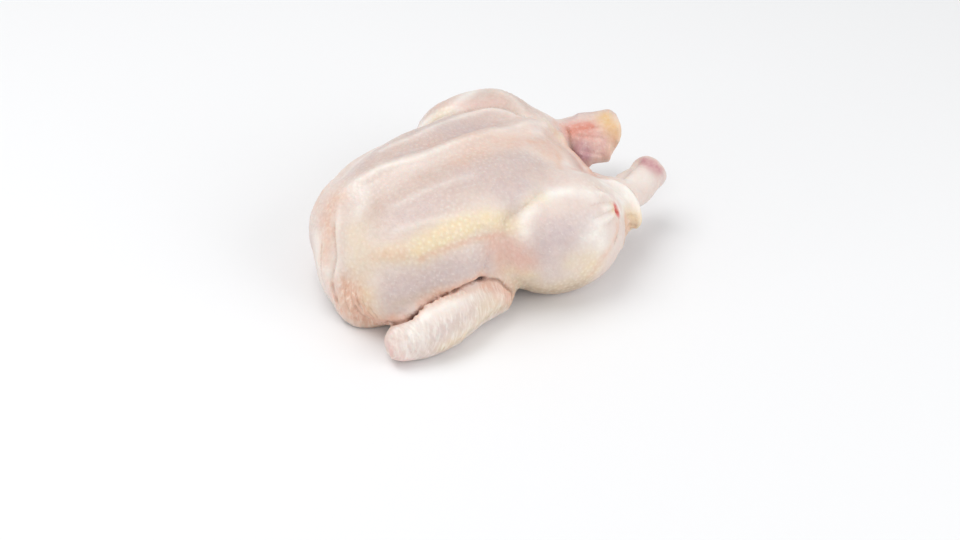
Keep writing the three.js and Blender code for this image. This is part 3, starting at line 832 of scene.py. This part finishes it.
def feather_rows(skin):
    """The height of the uneven ridges that run round the forearms."""
    x, y, z = skin.points.T
    wander, length = ROW_WAVE
    slant = x + ROW_LEAN * z + wander * lumps(skin.points, length, SEEDS["row wave"])
    around = z + 0.5 * np.abs(y)
    row = np.floor(slant / ROW_SPACING)
    ridge = wave(2 * np.pi * slant / ROW_SPACING)
    knots = wave(2 * np.pi * around / KNOT_SPACING + KNOT_SHIFT * row)
    squeezed = np.stack([slant, around / STREAK_STRETCH, 0 * x], 1)
    streaks = lumps(squeezed, STREAK_SIZE, SEEDS["streaks"])
    height = ROW_HEIGHT * ridge + KNOT_HEIGHT * ridge * knots + STREAK_HEIGHT * streaks
    return ramp(z - ROW_FOOT[0], ROW_FOOT[1]) * height


def work_forms(skin):
    """Works the soft forms, the creases and the cuts of the shanks into the skin."""
    for path, width, height in whole_bird(SWELLS.values(), SWELLS_BOTH.values()) + both(stubs()):
        skin.swell(path, width, height)
    for path, width, depth, _ in whole_bird(CREASES.values(), CREASES_BOTH.values()):
        skin.crease(path, width, depth)
    for place, way, bone in SHANK_ENDS:
        skin.cut_off(place, way, bone)
    skin.settle()


def raise_relief(skin, values, centres):
    """Raises the skin's unevenness, its follicles, the feather rows and the wrinkles."""
    forearm = forearm_share(skin)
    height = sum(tall * lumps(skin.points, size, seed) for size, tall, seed in UNEVEN)
    height += FOLLICLE_HEIGHT * follicle_share(skin, values, forearm) * follicle_tops(skin, centres)
    height += forearm * feather_rows(skin)
    wrinkles = lumps(skin.points * WRINKLE_SQUEEZE, WRINKLE_SIZE, SEEDS["wrinkles"])
    height += WRINKLE_HEIGHT * values["wrinkled"] * wrinkles
    skin.raise_by(height)


def opening_meat_and_shade(skin, ragged):
    """How much meat shows at each point of the body opening; its deep red there is also painted shade in the
    hollow.
    """
    inside = np.exp(-(((skin.points - OPENING) / OPENING_HALF) ** 2).sum(1))
    towards_legs = np.clip(skin.normals[:, 0] * 2 + 0.3, 0, 1)
    return np.clip((1.5 + 0.5 * ragged) * inside * towards_legs, 0, SHOWN_MOST)


def cut_faces(skin, ragged, end):
    """How much bone and how much meat shows at each point of a shank's cut."""
    place, way, bone = end
    beyond, beside, way = skin.from_cut(place, way)
    facing_out = np.clip(3 * (skin.normals @ way) - 1, 0, 1)
    face = np.clip(2 + beyond, 0, 1) * facing_out * (beside < SHANK_REACH)
    beside = beside * (1 + RAGGED * ragged)
    bones = SHOWN_MOST * face * np.clip((bone - beside) / 2 + 0.5, 0, 1)
    meat_most = 0.55 + 0.2 * ragged
    meat = face * np.clip(SHOWN_MOST - SHOWN_MOST * (beside - bone) / bone, 0, meat_most)
    return bones, meat


def keep_values(skin, values, centres):
    """Stores on the skin what its material reads at each point."""
    forearm = forearm_share(skin)
    follicles = follicle_share(skin, values, forearm)
    ragged = lumps(skin.points, RAGGED_SIZE, SEEDS["ragged edges"])
    bones = np.zeros(len(ragged))
    # meat in the body opening, its darkness also painted shade there
    meat = opening_meat_and_shade(skin, ragged)
    for end in SHANK_ENDS:
        end_bones, end_meat = cut_faces(skin, ragged, end)
        bones = np.maximum(bones, end_bones)
        meat = np.maximum(meat, end_meat)
    kept = {"dots": follicles * follicle_tops(skin, centres), "rows": forearm, "bumpy": follicles,
            **values, "meat": meat, "bone": bones}
    del kept["bare"]
    for name, column in kept.items():
        skin.keep(name, column)


def shape_skin(obj):
    """Works all forms and the relief into the skin, thins it out and stores its values."""
    skin = Skin(obj)
    skin.smooth(EVEN_ROUNDS)
    masks = tint_masks(skin)
    work_forms(skin)
    source = tree_of(skin.points)
    remesh(obj)
    skin = Skin(obj)
    skin.smooth(LAST_ROUNDS)
    centres = follicle_centres(skin.points)
    raise_relief(skin, carried(source, masks, skin.points), centres)
    thin_out(obj)
    skin = Skin(obj)
    keep_values(skin, carried(source, masks, skin.points), centres)


# ---- the skin's material ----

def operator(kind, turned=False):
    """A method of Value that adds a Math node; where it is turned, the value comes second."""
    def method(self, other):
        pair = (other, self) if turned else (self, other)
        return self.maker.node("Math", {"operation": kind}, dict(enumerate(pair)))
    return method


class Value:
    """A socket of the material, with arithmetic that adds the nodes for it."""

    __add__, __radd__ = operator("ADD"), operator("ADD", True)
    __sub__, __rsub__ = operator("SUBTRACT"), operator("SUBTRACT", True)
    __mul__, __rmul__ = operator("MULTIPLY"), operator("MULTIPLY", True)

    def __init__(self, maker, socket):
        self.maker = maker
        self.socket = socket

    def clamp(self):
        """The value, kept from 0 to 1."""
        clamped = {"operation": "ADD", "use_clamp": True}
        return self.maker.node("Math", clamped, {0: self, 1: 0.0})


class Material:
    """A material's node tree, and what adds nodes to it."""

    def __init__(self, name):
        self.material = bpy.data.materials.new(name)
        self.material.use_nodes = True
        self.tree = self.material.node_tree
        self.shader = self.tree.nodes["Principled BSDF"]

    def node(self, kind, settings=None, inputs=None, output=0):
        """Adds a shader node of that kind and gives one of its outputs."""
        node = self.tree.nodes.new("ShaderNode" + kind)
        for name, value in (settings or {}).items():
            setattr(node, name, value)
        for name, value in (inputs or {}).items():
            self.put(node.inputs[name], value)
        return Value(self, node.outputs[output])

    def put(self, socket, value):
        """Sets a socket to a number or colour, or links a value to it."""
        if isinstance(value, Value):
            self.tree.links.new(value.socket, socket)
        elif isinstance(value, tuple) and len(value) == 3 and len(socket.default_value) == 4:
            socket.default_value = (*value, 1)
        else:
            socket.default_value = value

    def set_shader(self, inputs):
        """Sets the shader's own sockets."""
        for name, value in inputs.items():
            self.put(self.shader.inputs[name], value)

    def mix(self, share, one, two):
        """The colour share of the way from one to two."""
        return self.node("Mix", {"data_type": "RGBA"},
                         {MIX_SHARE: share, MIX_ONE: one, MIX_TWO: two}, MIX_RESULT)

    def mask(self, name):
        """The value stored on the skin under that name."""
        return self.node("Attribute", {"attribute_name": name}, output="Fac")

    def stretched(self, place, turn, lengths):
        """The places in turned axes, so that what is laid on them is that much longer along each."""
        return self.node("Mapping", {"vector_type": "TEXTURE"},
                         {"Vector": place, "Rotation": turn, "Scale": lengths})

    def noise(self, place, size, detail=2.0):
        """Noise from 0 to 1 with features of about that many millimetres."""
        return self.node("TexNoise", {},
                         {"Vector": place, "Scale": 1 / (size * MM), "Detail": detail})

    def cells(self, place, size, randomness):
        """Distance from the nearest of many scattered places, that many millimetres apart."""
        return self.node("TexVoronoi", {},
                         {"Vector": place, "Scale": 1 / (size * MM), "Randomness": randomness})


def skin_grain(skin):
    """The noises that the skin's colour, gloss and bump share."""
    place = skin.node("TexCoord", output="Object")
    grain = {name: skin.noise(place, *kind) for name, kind in GRAIN.items()}
    for name, (turn, lengths, size) in LONG_GRAIN.items():
        grain[name] = skin.noise(skin.stretched(place, turn, lengths), size)
    grain["pores"] = skin.cells(place, *PORES)
    return grain


def skin_layers(skin, grain):
    """The thin layers of colour over the soft tints, painted shade and highlight on the wrinkles among them,
    from the lowest up: colour and share.
    """
    small, middle, ticks = grain["small"], grain["middle"], grain["ticks"]
    strokes, wrinkles = grain["strokes"], grain["wrinkles"]
    dots, rows, bumpy, wrinkled = map(skin.mask, ("dots", "rows", "bumpy", "wrinkled"))
    return [
        (PALE_SPECK, (small * 2.2 - 0.9).clamp() * 0.22),
        (DARK_SPECK, (0.95 - small * 2.2).clamp() * 0.20),
        (PALE_TICK, (ticks * 5 - 3.0).clamp() * (0.2 + 0.35 * skin.mask("violet"))),
        (BETWEEN_FOLLICLES, (bumpy * (0.9 - 1.6 * dots)).clamp() * 0.12),
        (FOLLICLE_TOP, (dots * (0.65 * middle - 0.12 + 0.18 * skin.mask("fat"))).clamp()),
        # painted shade in the wrinkles' hollows and painted highlight on their tops
        (WRINKLE_SHADE, (wrinkled * (1.8 - wrinkles * 4)).clamp() * 0.4),
        (WRINKLE_HIGHLIGHT, (wrinkled * (wrinkles * 4 - 2.0)).clamp() * 0.55),
        (PALE_STROKE, (rows * (strokes * 4 - 1.9)).clamp() * 0.55),
        (DARK_STROKE, (rows * (1.9 - strokes * 4)).clamp() * 0.30),
        (MEAT, skin.mask("meat")),
        (BONE, skin.mask("bone")),
    ]


def skin_colour(skin, grain):
    """Cream and flesh colours, the soft tints with their painted shade and highlights, the thin layers, and
    the sharp tints over them with painted shade in creases and hollows.
    """
    colour = skin.mix((grain["broad"] * 2.4 - 0.7).clamp(), FLESH_COLOUR, SKIN_COLOUR)
    for name in SOFT_TINTS:
        share = (skin.mask(name) * (0.3 + 1.5 * grain["middle"])).clamp()
        colour = skin.mix(share, colour, TINTS[name])
    for tint, share in skin_layers(skin, grain):
        colour = skin.mix(share, colour, tint)
    # painted shade in creases and hollows, and the slit's red
    for name in SHARP_TINTS:
        share = (skin.mask(name) * 1.5 - 0.15 - 0.5 * (grain["fine"] - 0.5)).clamp()
        colour = skin.mix(share, colour, TINTS[name])
    return colour


def skin_bump(skin, grain):
    """Pores, ticks and fine grain, strokes on the feather rows and in the wrinkles."""
    height = 0.35 * grain["fine"] - 0.4 * grain["pores"] + 0.4 * grain["small"] + 0.5 * grain["ticks"]
    height += 0.9 * skin.mask("rows") * grain["strokes"]
    height += 0.9 * skin.mask("wrinkled") * grain["wrinkles"]
    return skin.node("Bump", {}, {"Strength": 0.45, "Distance": MM, "Height": height})


def raw_skin():
    """Thin moist skin: tinted by the masks, with painted shade and highlights among the tints, dimpled,
    streaked and pored, its gloss uneven.
    """
    skin = Material("raw_skin")
    grain = skin_grain(skin)
    skin.set_shader({
        "Base Color": skin_colour(skin, grain),
        "Roughness": 0.36 + 0.26 * grain["middle"] - 0.06 * skin.mask("dots"),
        "Coat Weight": (0.6 * grain["broad"] - 0.1).clamp(),
        "Coat Roughness": 0.22,
        "Subsurface Weight": 0.28,
        "Subsurface Radius": (1.0, 0.45, 0.3),
        "Subsurface Scale": 2 * MM,
        "Normal": skin_bump(skin, grain),
    })
    return skin.material


# ---- camera and stage ----

def make_camera():
    """The camera, above the near side of the neck end."""
    right = Vector(CAMERA_RIGHT).normalized()
    up = Vector(CAMERA_UP).normalized()
    back = right.cross(up)
    data = bpy.data.cameras.new("camera")
    data.lens = CAMERA_LENS
    data.sensor_width = CAMERA_FILM
    data.clip_start = CAMERA_START
    camera = bpy.data.objects.new("camera", data)
    bpy.context.scene.collection.objects.link(camera)
    turn = Matrix((right, up, back)).transposed().to_4x4()
    camera.matrix_world = Matrix.Translation(Vector(CAMERA_PLACE) * MM) @ turn
    bpy.context.scene.camera = camera


def make_light(name, place, aim, size, power):
    """A square soft white light at place that looks at aim."""
    data = bpy.data.lights.new(name, "AREA")
    data.size = size
    data.energy = power
    light = bpy.data.objects.new(name, data)
    bpy.context.scene.collection.objects.link(light)
    light.location = place
    light.rotation_euler = (Vector(place) - Vector(aim)).to_track_quat("Z", "Y").to_euler()


def make_floor():
    """A wide pale floor."""
    bpy.ops.object.select_all(action="DESELECT")
    bpy.ops.mesh.primitive_plane_add(size=FLOOR_SIZE)
    floor = bpy.context.object
    floor.name = "floor"
    pale = Material("pale_floor")
    pale.set_shader({"Base Color": FLOOR_COLOUR, "Roughness": FLOOR_ROUGHNESS})
    floor.data.materials.append(pale.material)


def make_sky():
    """A bright even sky, and colours shown as they are."""
    world = bpy.data.worlds.new("studio")
    world.use_nodes = True
    background = world.node_tree.nodes["Background"]
    background.inputs["Color"].default_value = (*SKY_COLOUR, 1)
    background.inputs["Strength"].default_value = SKY_STRENGTH
    bpy.context.scene.world = world
    bpy.context.scene.view_settings.view_transform = "Standard"


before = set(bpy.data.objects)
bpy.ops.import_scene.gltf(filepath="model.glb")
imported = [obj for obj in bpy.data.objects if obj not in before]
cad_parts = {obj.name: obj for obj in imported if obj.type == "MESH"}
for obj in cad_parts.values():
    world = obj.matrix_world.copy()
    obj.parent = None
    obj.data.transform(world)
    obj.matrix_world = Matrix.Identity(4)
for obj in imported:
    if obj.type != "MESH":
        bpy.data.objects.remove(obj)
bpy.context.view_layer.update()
make_camera()
make_floor()
make_sky()
for name, light in LIGHTS.items():
    make_light(name, *light)
chicken = fine_copy(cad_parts["chicken"], "chicken_skin")
shape_skin(chicken)
chicken.data.materials.clear()
chicken.data.materials.append(raw_skin())
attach(chicken, "root")
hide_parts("chicken")
